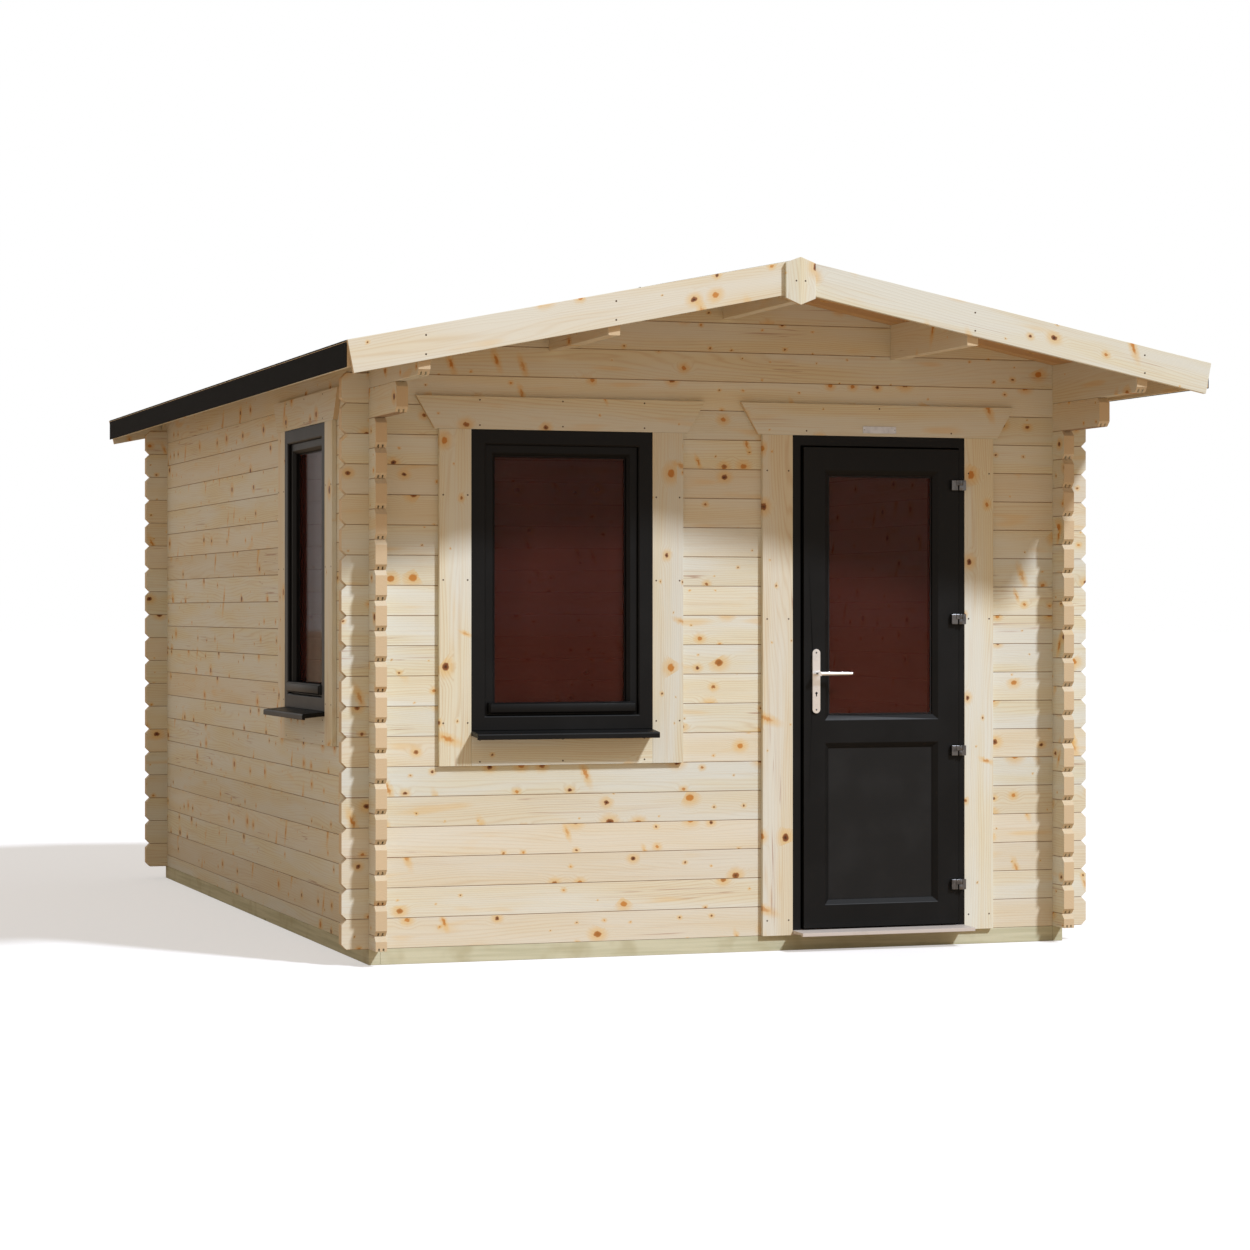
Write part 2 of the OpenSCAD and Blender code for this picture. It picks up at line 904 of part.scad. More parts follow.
// long plate with round ends, its face at y = 0 and its back at y = 8
module plate_body() {
    difference() {
        union() {
            translate([-16, 0, -140])
                cube([32, 8, 220]);
            for (z = [-140, 80])
                translate([0, 0, z])
                    rotate([-90, 0, 0])
                        cylinder(r = 16, h = 8);
        }
        translate([0, -1, 0])
            rotate([-90, 0, 0])
                cylinder(r = neck_r + 2 * run, h = 10);
    }
}

module handle_plates() {
    color(col_steel) moved() {
        translate([lever_x, leaf_y - gap - 8, lever_z])
            plate_body();
        translate([lever_x, leaf_y + leaf_t + gap, lever_z])
            plate_body();
    }
}

// spindle through the leaf with a lever on each side
module lever() {
    ya = leaf_y - 50;
    yb = leaf_y + leaf_t + 50;
    color(col_steel) moved()
        translate([lever_x, 0, lever_z]) {
            translate([0, ya, 0])
                rotate([-90, 0, 0])
                    cylinder(r = 6, h = yb - ya);
            for (y = [ya, yb - 45])
                translate([0, y, 0])
                    rotate([-90, 0, 0])
                        cylinder(r = neck_r, h = 45);
            for (y = [ya + 8, yb - 8])
                translate([0, y, 0])
                    rotate([0, 90, 0])
                        cylinder(r1 = 8.5, r2 = 6, h = lever_l);
        }
}

bearers();
joists();
floor_deck();
front_logs_under_window();
front_logs_left();
front_logs_middle();
front_logs_right();
front_gable_logs();
left_logs_under_window();
left_logs_front();
left_logs_back();
left_logs_over_window();
right_logs();
back_logs();
back_gable_logs();
corbel_logs();
wall_plates();
purlins();
roof_left();
roof_right();
felt_left();
felt_right();
fascias();
bargeboards_front();
bargeboards_back();
ridge_caps();
front_window_frame();
front_window_bead();
front_window_glass();
front_window_sill();
front_window_trim();
left_window_frame();
left_window_bead();
left_window_glass();
left_window_sill();
left_window_trim();
door_frame();
door_sill();
door_trim();
door_plate();
door_leaf();
door_glass();
door_panel();
hinge_fixed();
hinge_moving();
handle_plates();
lever();
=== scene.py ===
import math
import bpy
from mathutils import Matrix, Vector


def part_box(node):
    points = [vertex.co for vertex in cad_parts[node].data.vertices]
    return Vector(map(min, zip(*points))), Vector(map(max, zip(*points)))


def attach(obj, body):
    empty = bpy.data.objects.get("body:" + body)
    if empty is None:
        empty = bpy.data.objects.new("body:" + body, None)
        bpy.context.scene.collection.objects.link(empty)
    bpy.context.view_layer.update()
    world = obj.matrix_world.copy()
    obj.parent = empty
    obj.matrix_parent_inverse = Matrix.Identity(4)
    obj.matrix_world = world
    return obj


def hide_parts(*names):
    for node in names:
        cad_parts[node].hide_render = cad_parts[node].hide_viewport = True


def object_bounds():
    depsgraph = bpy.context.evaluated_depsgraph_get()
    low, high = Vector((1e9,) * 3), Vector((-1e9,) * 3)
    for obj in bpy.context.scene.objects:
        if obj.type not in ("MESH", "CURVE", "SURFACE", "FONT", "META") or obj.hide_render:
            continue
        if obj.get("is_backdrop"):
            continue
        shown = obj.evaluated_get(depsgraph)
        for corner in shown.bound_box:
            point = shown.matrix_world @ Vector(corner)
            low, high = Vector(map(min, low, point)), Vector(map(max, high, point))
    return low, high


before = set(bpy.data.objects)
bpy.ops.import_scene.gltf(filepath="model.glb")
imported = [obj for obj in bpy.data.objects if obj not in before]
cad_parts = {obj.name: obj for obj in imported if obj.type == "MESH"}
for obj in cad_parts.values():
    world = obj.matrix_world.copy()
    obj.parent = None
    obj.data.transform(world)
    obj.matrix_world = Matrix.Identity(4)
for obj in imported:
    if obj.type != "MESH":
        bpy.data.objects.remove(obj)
cad_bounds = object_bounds()

# ---------------------------------------------------------------- sizes from the frame
COURSE = 0.114
SLOPE = 0.2
LOG = 0.044
BOARD = 0.020

WALL_LO, WALL_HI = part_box("right_logs")
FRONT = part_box("front_logs_under_window")[0].y
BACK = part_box("back_logs")[1].y
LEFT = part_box("left_logs_back")[0].x
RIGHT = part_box("right_logs")[1].x
WALL_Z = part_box("front_logs_under_window")[0].z
MID_X = (LEFT + RIGHT) / 2

# ---------------------------------------------------------------- camera
camera_data = bpy.data.cameras.new("camera")
camera = bpy.data.objects.new("camera", camera_data)
bpy.context.scene.collection.objects.link(camera)
camera.location = (-4.3547, -13.5292, 1.3299)
camera.rotation_euler = (math.pi / 2, 0, -0.3230)
camera_data.lens = 92.41
camera_data.sensor_width = 36
camera_data.shift_y = -0.0108
camera_data.clip_end = 200
bpy.context.scene.camera = camera


# ---------------------------------------------------------------- shader arithmetic
class Field:
    """A shader socket that takes part in plain arithmetic."""

    def __init__(self, finish, socket):
        self.finish = finish
        self.socket = socket

    def math(self, operation, *others):
        values = {0: self}
        for place, other in enumerate(others):
            values[place + 1] = other
        return self.finish.node("ShaderNodeMath", {"operation": operation}, values)

    def __add__(self, other):
        return self.math("ADD", other)

    def __sub__(self, other):
        return self.math("SUBTRACT", other)

    def __mul__(self, other):
        return self.math("MULTIPLY", other)

    def __truediv__(self, other):
        return self.math("DIVIDE", other)

    def __rsub__(self, other):
        return self.finish.node("ShaderNodeMath", {"operation": "SUBTRACT"}, {0: other, 1: self})

    def __gt__(self, other):
        return self.math("GREATER_THAN", other)

    def __lt__(self, other):
        return self.math("LESS_THAN", other)

    __radd__ = __add__
    __rmul__ = __mul__

    def abs(self):
        return self.math("ABSOLUTE")

    def floor(self):
        return self.math("FLOOR")

    def sin(self):
        return self.math("SINE")

    def power(self, exponent):
        return self.math("POWER", exponent)

    def step(self, start, end):
        """0 at start, 1 at end, smooth between and flat beyond."""
        values = {"Value": self, "From Min": start, "From Max": end}
        return self.finish.node("ShaderNodeMapRange", {"interpolation_type": "SMOOTHSTEP"}, values)


class Finish:
    """A material under construction, with one Principled shader."""

    def __init__(self, name, **constants):
        self.material = bpy.data.materials.new(name)
        self.material.use_nodes = True
        self.tree = self.material.node_tree
        self.shader = self.tree.nodes["Principled BSDF"]
        self.output = self.tree.nodes["Material Output"]
        for socket, value in constants.items():
            self.shader.inputs[socket.replace("_", " ")].default_value = value

    def node(self, kind, settings, values, output=0):
        """Makes a node: its settings first, then the values or links of its sockets."""
        made = self.tree.nodes.new(kind)
        for name, value in settings.items():
            setattr(made, name, value)
        for name, value in values.items():
            if isinstance(value, Field):
                self.tree.links.new(value.socket, made.inputs[name])
            else:
                made.inputs[name].default_value = value
        if isinstance(output, tuple):
            return [Field(self, made.outputs[name]) for name in output]
        return Field(self, made.outputs[output])

    def link(self, field, socket):
        self.tree.links.new(field.socket, self.shader.inputs[socket])

    def place(self):
        """Object coordinates and the normal, each as three numbers."""
        spot, normal = self.node("ShaderNodeTexCoord", {}, {}, ("Object", "Normal"))
        return self.split(spot) + self.split(normal)

    def split(self, vector):
        return self.node("ShaderNodeSeparateXYZ", {}, {0: vector}, ("X", "Y", "Z"))

    def join(self, x, y, z):
        return self.node("ShaderNodeCombineXYZ", {}, {0: x, 1: y, 2: z})

    def noise(self, vector, scale, detail=2.0, rough=0.5):
        values = {"Vector": vector, "Scale": scale, "Detail": detail, "Roughness": rough}
        return self.node("ShaderNodeTexNoise", {}, values)

    def random(self, value):
        """A number from 0 to 1 and a colour, the same wherever value is the same."""
        return self.node("ShaderNodeTexWhiteNoise", {"noise_dimensions": "1D"}, {"W": value}, ("Value", "Color"))

    def mix(self, factor, first, second, blend="MIX"):
        settings = {"data_type": "RGBA", "blend_type": blend, "clamp_factor": True}
        return self.node("ShaderNodeMix", settings, {0: factor, 6: first, 7: second}, 2)

    def bump(self, height, distance, strength=1.0):
        values = {"Height": height, "Distance": distance, "Strength": strength}
        self.link(self.node("ShaderNodeBump", {}, values), "Normal")


def rgb(red, green, blue):
    """A colour given as it shows on a screen, 0 to 255, in linear light."""
    return tuple(((c / 255 + 0.055) / 1.055) ** 2.4 if c > 10 else c / 3295 for c in (red, green, blue)) + (1.0,)


# ---------------------------------------------------------------- pine
CREAM = rgb(223, 224, 214)
BUTTER = rgb(224, 218, 192)
BLUSH = rgb(219, 207, 184)
LATEWOOD = rgb(198, 166, 122)
HALO = rgb(224, 180, 96)
AMBER = rgb(196, 128, 50)
PITH = rgb(150, 86, 58)
KNOT = rgb(130, 70, 28)
KNOT_HEART = rgb(70, 38, 20)
JOINT = rgb(138, 92, 52)
END_WOOD = rgb(216, 196, 164)
# Darker, redder pine tones for the roof boards, whose undersides show only under the eaves: painted shade of the
# overhang, put into the boards' colour.
SOFFIT_PAINTED_SHADE = (rgb(206, 172, 130), rgb(198, 160, 116), rgb(186, 144, 102))


def pine(name, lay, joints=False, knots=0.62, tone=(CREAM, BUTTER, BLUSH), deep=1.0):
    """Planed pine. lay turns a place into distances along, across and into the piece, and its number."""
    f = Finish(name, Roughness=0.62, Specular_IOR_Level=0.28)
    x, y, z, nx, ny, nz = f.place()
    along, across, depth, number, end = lay(f, x, y, z, nx, ny, nz)
    luck, tint = f.random(number)
    warm, grey, shift = f.split(tint)
    board_along = along + luck * 37.0
    board_across = across + shift * 11.0

    # knots, each in its own cell, where growth lines part round it
    cell = 11.5
    spread = f.noise(f.join(board_along, board_across, 0.0), 70.0, 2.0)
    spot = f.join((board_along + spread * 0.009) * 0.8, board_across + spread * 0.011, 0.0)
    distance, colour = f.node("ShaderNodeTexVoronoi", {"voronoi_dimensions": "2D"},
                              {"Vector": spot, "Scale": cell, "Randomness": 0.9}, ("Distance", "Color"))
    odds, size, dark = f.split(colour)
    metres = distance / cell
    there = odds > 1.0 - knots * 0.78
    radius = 0.0018 + size.power(2.8) * 0.0125
    near = metres / radius
    knot = (1.0 - near.step(0.72, 1.12)) * there
    heart = (1.0 - near.step(0.15, 0.7)) * there * dark.step(0.25, 0.7)
    halo = (1.0 - near.step(0.9, 3.6)) * there
    swirl = (1.0 - near.step(0.0, 5.5)) * there * radius
    branch_cell = 5.2
    lean = board_along + board_across * 0.35 + spread * 0.020
    length_spot = f.join(lean, board_across * 0.36 + spread * 0.006, 0.0)
    reach, pick = f.node("ShaderNodeTexVoronoi", {"voronoi_dimensions": "2D"},
                         {"Vector": length_spot, "Scale": branch_cell, "Randomness": 1.0}, ("Distance", "Color"))
    chance, stout, shade = f.split(pick)
    branch_near = (reach / branch_cell) / (0.0035 + stout * 0.006)
    branch = (1.0 - branch_near.step(0.45, 1.25)) * (chance > 1.0 - knots)
    branch_glow = (1.0 - branch_near.step(0.8, 3.4)) * (chance > 1.0 - knots)

    # growth lines, sawn close to flat, that drift and close into long arches
    drift = f.noise(f.join(board_along * 0.55, board_across * 5.0, depth * 5.0), 1.0, 2.0)
    wobble = f.noise(f.join(board_along * 2.4, board_across * 26.0, depth * 26.0), 1.0, 2.0)
    arch = board_across + (drift - 0.5) * 0.19 + (wobble - 0.5) * 0.012 + swirl * 2.2
    lines = ((arch * 640.0).sin() * 0.5 + 0.5).power(3.2)
    fine = ((arch * 2300.0).sin() * 0.5 + 0.5)
    patch = f.noise(f.join(board_along * 1.1, board_across * 9.0, depth * 9.0), 1.0, 3.0)
    streak = f.noise(f.join(board_along * 2.0, board_across * 70.0, depth * 70.0), 1.0, 3.0, 0.6)

    base = f.mix(patch.step(0.36, 0.66), tone[0], tone[1])
    base = f.mix((warm * 0.9 + patch * 0.5 - 0.35).step(0.2, 0.95) * 0.75, base, tone[2])
    line_depth = patch.step(0.3, 0.75) * 0.30 + 0.06
    base = f.mix(lines * line_depth * deep, base, LATEWOOD)
    base = f.mix(streak.step(0.52, 0.78) * 0.22 * deep, base, LATEWOOD)
    smear = f.noise(f.join(board_along * 3.1, board_across * 17.0, depth * 17.0), 1.0, 1.0)
    base = f.mix(smear.step(0.66, 0.8) * 0.35, base, HALO)
    base = f.mix(branch_glow * 0.55, base, HALO)
    base = f.mix(branch * (0.45 + shade * 0.5), base, AMBER)
    base = f.mix(halo * 0.55, base, HALO)
    base = f.mix(knot * (0.5 + size * 0.45), base, f.mix(dark.step(0.15, 0.7), AMBER, KNOT))
    base = f.mix(heart * 0.9, base, KNOT_HEART)

    thread = f.noise(f.join(board_along * 0.8, board_across * 62.0, depth * 62.0), 1.0, 1.0)
    where = f.noise(f.join(board_along * 1.6, board_across * 8.0, depth * 8.0), 1.0, 1.0)
    pith = (1.0 - ((thread - 0.5).abs()).step(0.004, 0.016)) * where.step(0.60, 0.68)
    base = f.mix(pith * 0.5, base, PITH)

    # end grain: growth rings round a heart that lies outside the piece
    ring = f.join(across * 1.0, depth * 1.0 + luck * 0.03, 0.0)
    reach = f.node("ShaderNodeVectorMath", {"operation": "DISTANCE"},
                   {0: ring, 1: (WALL_Z, 0.0, 0.0)}, "Value")
    rings = ((reach * 1900.0 + wobble * 3.0).sin() * 0.5 + 0.5) * 0.5
    butt = end.abs().step(0.55, 0.8)
    base = f.mix(butt, base, f.mix(rings, END_WOOD, LATEWOOD))

    value = f.mix(1.0, base, f.join(0.93 + grey * 0.1, 0.93 + grey * 0.095, 0.925 + grey * 0.09), "MULTIPLY")
    if joints:
        place = (across - WALL_Z) / COURSE + joints
        edge = 0.5 - (place - place.floor() - 0.5).abs()
        seam = (1.0 - (edge * COURSE).step(0.0006, 0.0021)) * (1.0 - butt)
        value = f.mix(seam * 0.72, value, JOINT)
    f.link(value, "Base Color")
    f.link(0.56 + lines * 0.08 + knot * -0.16 + patch * 0.08, "Roughness")
    f.bump(lines * 0.5 + fine * 0.12 + streak * 0.4 - knot * 0.5, 0.0005, 0.7)
    return f.material


def log_number(shift, side):
    """The course that a log lies in, told apart from those of the other walls."""
    def number(across, depth):
        return ((across - WALL_Z) / COURSE + shift).floor() + (depth * 0.6).floor() * 31.0 + side
    return number


def front_lay(f, x, y, z, nx, ny, nz):
    number = log_number(0.0, 100.5)(z, y)
    return x, z, y, number, nx


def side_lay(f, x, y, z, nx, ny, nz):
    number = log_number(0.5, 300.5)(z, x)
    return y, z, x, number, ny


def slope_lay(f, x, y, z, nx, ny, nz):
    """Boards that run down both slopes: grain along the slope."""
    rise = z + (x - MID_X).abs() * SLOPE
    return x, rise, y, (x > MID_X) + (y > 0.0) * 2.0 + 7.5, nx


def eave_lay(f, x, y, z, nx, ny, nz):
    return y, z, x, (x * 1.7).floor() + 40.5, ny


def upright_lay(f, x, y, z, nx, ny, nz):
    return z, x, y, (x > MID_X) + (y > 0.0) * 2.0 + 55.5, nz


def trim_lay(lo, hi, top, low, sideways):
    """Trim round an opening: uprights at both sides, level boards over and under it."""
    def lay(f, x, y, z, nx, ny, nz):
        run, deep, face = (y, x, ny) if sideways else (x, y, nx)
        level = (z > top).math("MAXIMUM", (run > lo) * (run < hi))
        along = run * level + z * (1.0 - level)
        across = z * level + run * (1.0 - level)
        end = face * level + nz * (1.0 - level)
        number = level * 3.0 + (run > (lo + hi) / 2) * (1.0 - level) + (z > top) * 5.0 + low
        return along, across, deep, number, end
    return lay


def opening_trim(node, frame_node, low, sideways=False):
    axis = 1 if sideways else 0
    first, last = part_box(frame_node)
    lay = trim_lay(first[axis] + 0.0005, last[axis] - 0.0005, last.z, low, sideways)
    return pine("pine_" + node, lay, knots=0.4, deep=1.2)


def plank_lay(width, start, number_axis, grain):
    """Narrow boards side by side, each with a number of its own."""
    def lay(f, x, y, z, nx, ny, nz):
        places = {"x": x, "y": y}
        number = ((places[number_axis] - start) / width).floor() + 500.5
        across = places[number_axis]
        end = {"x": nx, "y": ny}[grain]
        return places[grain], across, z, number, end
    return lay


# ---------------------------------------------------------------- other finishes
def treated_timber():
    f = Finish("treated_timber", Roughness=0.8, Specular_IOR_Level=0.2)
    x, y, z, nx, ny, nz = f.place()
    long = f.noise(f.join(x * 1.5, y * 1.5, z * 60.0), 1.0, 3.0, 0.6)
    blot = f.noise(f.join(x, y, z), 9.0, 2.0)
    distance, colour = f.node("ShaderNodeTexVoronoi", {"voronoi_dimensions": "3D"},
                              {"Vector": f.join(x, y, z * 1.3), "Scale": 4.2}, ("Distance", "Color"))
    odds, size, dark = f.split(colour)
    knot = (1.0 - (distance / 4.2).step(0.008, 0.016)) * (odds > 0.45)
    base = f.mix(long.step(0.35, 0.7), rgb(206, 204, 178), rgb(186, 185, 156))
    base = f.mix(blot.step(0.5, 0.75) * 0.5, base, rgb(172, 164, 128))
    base = f.mix(knot * 0.8, base, rgb(84, 72, 46))
    f.link(base, "Base Color")
    f.link(0.74 + long * 0.12, "Roughness")
    f.bump(long + blot * 0.3, 0.0008, 0.6)
    return f.material


def mineral_felt():
    f = Finish("felt", Roughness=0.95, Specular_IOR_Level=0.12)
    x, y, z, nx, ny, nz = f.place()
    spot = f.join(x, y, z)
    grit = f.noise(spot, 900.0, 2.0, 0.7)
    lie = f.noise(f.join(x, y * 0.4, z), 2.2, 3.0)
    base = f.mix(grit.step(0.48, 0.72), rgb(7, 7, 7), rgb(30, 30, 31))
    base = f.mix(lie.step(0.45, 0.75) * 0.4, base, rgb(16, 15, 15))
    f.link(base, "Base Color")
    f.link(0.86 + grit * 0.12, "Roughness")
    f.bump(grit * 0.6 + lie * 2.5, 0.0012, 0.7)
    return f.material


def black_frame(name, first, second):
    f = Finish(name, Roughness=0.4, Specular_IOR_Level=0.18)
    x, y, z, nx, ny, nz = f.place()
    spot = f.join(x, y, z)
    peel = f.noise(spot, 260.0, 2.0)
    cloud = f.noise(spot, 5.0, 3.0)
    base = f.mix(cloud.step(0.4, 0.7), first, second)
    f.link(base, "Base Color")
    f.link(0.36 + cloud * 0.1 + peel * 0.08, "Roughness")
    f.bump(peel, 0.0002, 0.5)
    return f.material


def tinted_glass():
    f = Finish("tinted_glass", Roughness=0.03, Specular_IOR_Level=0.22, Alpha=0.22)
    x, y, z, nx, ny, nz = f.place()
    haze = f.noise(f.join(x, y, z * 0.3), 3.0, 2.0)
    f.link(f.mix(haze.step(0.3, 0.7), rgb(80, 34, 28), rgb(92, 44, 36)), "Base Color")
    f.link(0.02 + haze * 0.03, "Roughness")
    return f.material


def polished(name, first, second, rough, metallic=1.0, brush=0.0):
    """A bare or plated metal with faint smears, brushed along Z if brush is given."""
    f = Finish(name, Metallic=metallic, Roughness=rough)
    x, y, z, nx, ny, nz = f.place()
    smear = f.noise(f.join(x, y, z), 38.0, 3.0, 0.6)
    hair = f.noise(f.join(x * 900.0, y * 900.0, z * 9.0), 1.0, 1.0)
    f.link(f.mix(smear.step(0.4, 0.75), first, second), "Base Color")
    f.link(rough + smear * 0.09 + hair * brush, "Roughness")
    f.bump(smear * 0.4 + hair * brush * 4.0, 0.0001, 0.5)
    return f.material


def pale_sill():
    f = Finish("pale_sill", Roughness=0.5, Specular_IOR_Level=0.3)
    x, y, z, nx, ny, nz = f.place()
    grain = f.noise(f.join(x * 2.0, y * 60.0, z * 60.0), 1.0, 3.0)
    scuff = f.noise(f.join(x, y, z), 18.0, 3.0)
    base = f.mix(grain.step(0.35, 0.7), rgb(206, 197, 190), rgb(192, 182, 174))
    base = f.mix(scuff.step(0.6, 0.8) * 0.5, base, rgb(176, 165, 154))
    f.link(base, "Base Color")
    f.link(0.42 + scuff * 0.2, "Roughness")
    f.bump(grain, 0.0003, 0.5)
    return f.material


def rubber_seal():
    f = Finish("rubber_seal", Roughness=0.6, Specular_IOR_Level=0.3)
    x, y, z, nx, ny, nz = f.place()
    dust = f.noise(f.join(x, y, z), 120.0, 3.0)
    f.link(f.mix(dust.step(0.5, 0.8), rgb(14, 14, 14), rgb(30, 29, 28)), "Base Color")
    f.link(0.5 + dust * 0.2, "Roughness")
    return f.material


LOGS_X = pine("pine_logs_across", front_lay, joints=0.0001)
LOGS_Y = pine("pine_logs_along", side_lay, joints=0.5001)
SLOPED = pine("pine_bargeboards", slope_lay, knots=0.4)
EAVES = pine("pine_eaves", eave_lay, knots=0.45)
UPRIGHT = pine("pine_upright", upright_lay, knots=0.3)
TIMBER = treated_timber()
FELT = mineral_felt()
BLACK = black_frame("black_frame", rgb(13, 13, 13), rgb(18, 18, 18))
PANEL = black_frame("door_panel_black", rgb(27, 27, 27), rgb(33, 33, 33))
GLASS = tinted_glass()
SILL = pale_sill()
CHROME = polished("chrome", rgb(250, 250, 250), rgb(240, 240, 241), 0.12, metallic=0.75)
HINGE = polished("hinge_metal", rgb(118, 118, 120), rgb(84, 84, 86), 0.28, brush=0.04)
PLATE = polished("plate_metal", rgb(206, 206, 208), rgb(188, 188, 190), 0.36, brush=0.1)
NAIL = polished("nail_steel", rgb(92, 74, 60), rgb(64, 50, 40), 0.5, metallic=0.6)
GALVANISED = polished("galvanised", rgb(150, 152, 154), rgb(110, 112, 114), 0.45)
SEAL = rubber_seal()

FINISHES = {
    "front_logs_under_window": LOGS_X, "front_logs_left": LOGS_X, "front_logs_middle": LOGS_X,
    "front_logs_right": LOGS_X, "front_gable_logs": LOGS_X, "back_logs": LOGS_X, "back_gable_logs": LOGS_X,
    "left_logs_under_window": LOGS_Y, "left_logs_front": LOGS_Y, "left_logs_back": LOGS_Y,
    "left_logs_over_window": LOGS_Y, "right_logs": LOGS_Y, "corbel_logs": LOGS_Y,
    "wall_plates": EAVES, "purlins": EAVES, "fascias": EAVES,
    "bargeboards_front": SLOPED, "bargeboards_back": SLOPED, "ridge_caps": UPRIGHT,
    "front_window_trim": opening_trim("front_window_trim", "front_window_frame", 60.5),
    "left_window_trim": opening_trim("left_window_trim", "left_window_frame", 75.5, sideways=True),
    "door_trim": opening_trim("door_trim", "door_frame", 90.5),
    "bearers": TIMBER, "joists": TIMBER,
    "felt_left": FELT, "felt_right": FELT,
    "front_window_frame": BLACK, "left_window_frame": BLACK, "front_window_bead": BLACK,
    "left_window_bead": BLACK, "front_window_sill": BLACK, "left_window_sill": BLACK,
    "door_frame": BLACK, "door_leaf": BLACK, "door_panel": PANEL,
    "front_window_glass": GLASS, "left_window_glass": GLASS, "door_glass": GLASS,
    "door_sill": SILL, "door_plate": PLATE,
    "hinge_fixed": HINGE, "hinge_moving": HINGE, "handle_plates": CHROME, "lever": CHROME,
}


def dress(node, material):
    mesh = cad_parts[node].data
    mesh.materials.clear()
    mesh.materials.append(material)


for node_name, node_finish in FINISHES.items():
    dress(node_name, node_finish)

EASED = {
    "front_window_frame": 0.0016, "left_window_frame": 0.0016, "front_window_bead": 0.0014,
    "left_window_bead": 0.0014, "front_window_sill": 0.0022, "left_window_sill": 0.0022,
    "door_frame": 0.0014, "door_leaf": 0.0014, "door_sill": 0.0016, "hinge_fixed": 0.0022,
    "hinge_moving": 0.0022, "handle_plates": 0.0012, "front_window_trim": 0.0012,
    "left_window_trim": 0.0012, "door_trim": 0.0012, "bargeboards_front": 0.0015,
    "bargeboards_back": 0.0015, "ridge_caps": 0.0015, "door_plate": 0.0006, "bearers": 0.0015,
}


def ease_edges(node, width):
    """Takes the sharpness off a node's edges, as a sander or a mould does."""
    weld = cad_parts[node].modifiers.new("weld", "WELD")
    weld.merge_threshold = 0.00002
    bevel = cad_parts[node].modifiers.new("ease", "BEVEL")
    bevel.width = width
    bevel.segments = 2
    bevel.limit_method = "ANGLE"
    bevel.angle_limit = math.radians(35)
    bevel.harden_normals = False


for node_name, ease in EASED.items():
    ease_edges(node_name, ease)


# ---------------------------------------------------------------- making pieces
def clear_selection():
    if bpy.context.mode != "OBJECT":
        bpy.ops.object.mode_set(mode="OBJECT")
    bpy.ops.object.select_all(action="DESELECT")


def start_box(name, low, high):
    """A box from its low to its high corner, ready to be shaped."""
    clear_selection()
    low, high = Vector(low), Vector(high)
    bpy.ops.mesh.primitive_cube_add(size=1, location=(low + high) / 2)
    piece = bpy.context.object
    piece.name = name
    piece.scale = high - low
    bpy.ops.object.transform_apply(location=True, rotation=True, scale=True)
    return piece


def modify(piece, kind, **settings):
    clear_selection()
    piece.select_set(True)
    bpy.context.view_layer.objects.active = piece
    modifier = piece.modifiers.new(kind.lower(), kind)
    for name, value in settings.items():
        setattr(modifier, name, value)
    bpy.ops.object.modifier_apply(modifier=modifier.name)


def copies(piece, moves):
    """Copies of piece, each with its own mesh, moved by each offset; the first one moves too."""
    made = []
    for move in moves:
        twin = piece.copy()
        twin.data = piece.data.copy()
        bpy.context.scene.collection.objects.link(twin)
        twin.data.transform(Matrix.Translation(move))
        made.append(twin)
    bpy.data.objects.remove(piece)
    return made


def join(pieces, name):
    clear_selection()
    for piece in pieces:
        piece.select_set(True)
    bpy.context.view_layer.objects.active = pieces[0]
    if len(pieces) > 1:
        bpy.ops.object.join()
    joined = bpy.context.object
    joined.name = name
    joined.data.name = name
    return joined


def finished(piece, material, body, smooth=None):
    clear_selection()
    piece.select_set(True)
    bpy.context.view_layer.objects.active = piece
    bpy.ops.object.transform_apply(location=True, rotation=True, scale=True)
    if smooth:
        bpy.ops.object.shade_smooth_by_angle(angle=math.radians(smooth))
    piece.data.materials.clear()
    piece.data.materials.append(material)
    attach(piece, body)
    return piece


def turn_to(piece, normal):
    """Turns a piece that was made facing +Z to face along normal."""
    turn = Vector((0, 0, 1)).rotation_difference(Vector(normal)).to_matrix().to_4x4()
    piece.data.transform(turn)


def button(radius, height, sides=10):
    """A shallow round head facing +Z, standing on the origin: inset and raised from a disc."""
    clear_selection()
    bpy.ops.mesh.primitive_cylinder_add(vertices=sides, radius=radius, depth=height, location=(0, 0, height / 2))
    piece = bpy.context.object
    bpy.ops.object.transform_apply(location=True)
    bpy.ops.object.mode_set(mode="EDIT")
    bpy.ops.mesh.select_mode(type="FACE")
    bpy.ops.mesh.select_all(action="DESELECT")
    bpy.ops.object.mode_set(mode="OBJECT")
    for face in piece.data.polygons:
        face.select = face.normal.z > 0.9
    bpy.ops.object.mode_set(mode="EDIT")
    bpy.ops.mesh.inset(thickness=radius * 0.45)
    bpy.ops.transform.translate(value=(0, 0, height * 0.35))
    bpy.ops.object.mode_set(mode="OBJECT")
    return piece


def heads(name, spots, normal, radius, height, material, body="cabin", sink=0.0004):
    """A group of nail or screw heads at spots on a face, joined as one piece."""
    normal = Vector(normal).normalized()
    one = button(radius, height)
    turn_to(one, normal)
    moves = [Vector(spot) - normal * sink for spot in spots]
    return finished(join(copies(one, moves), name), material, body, smooth=40)


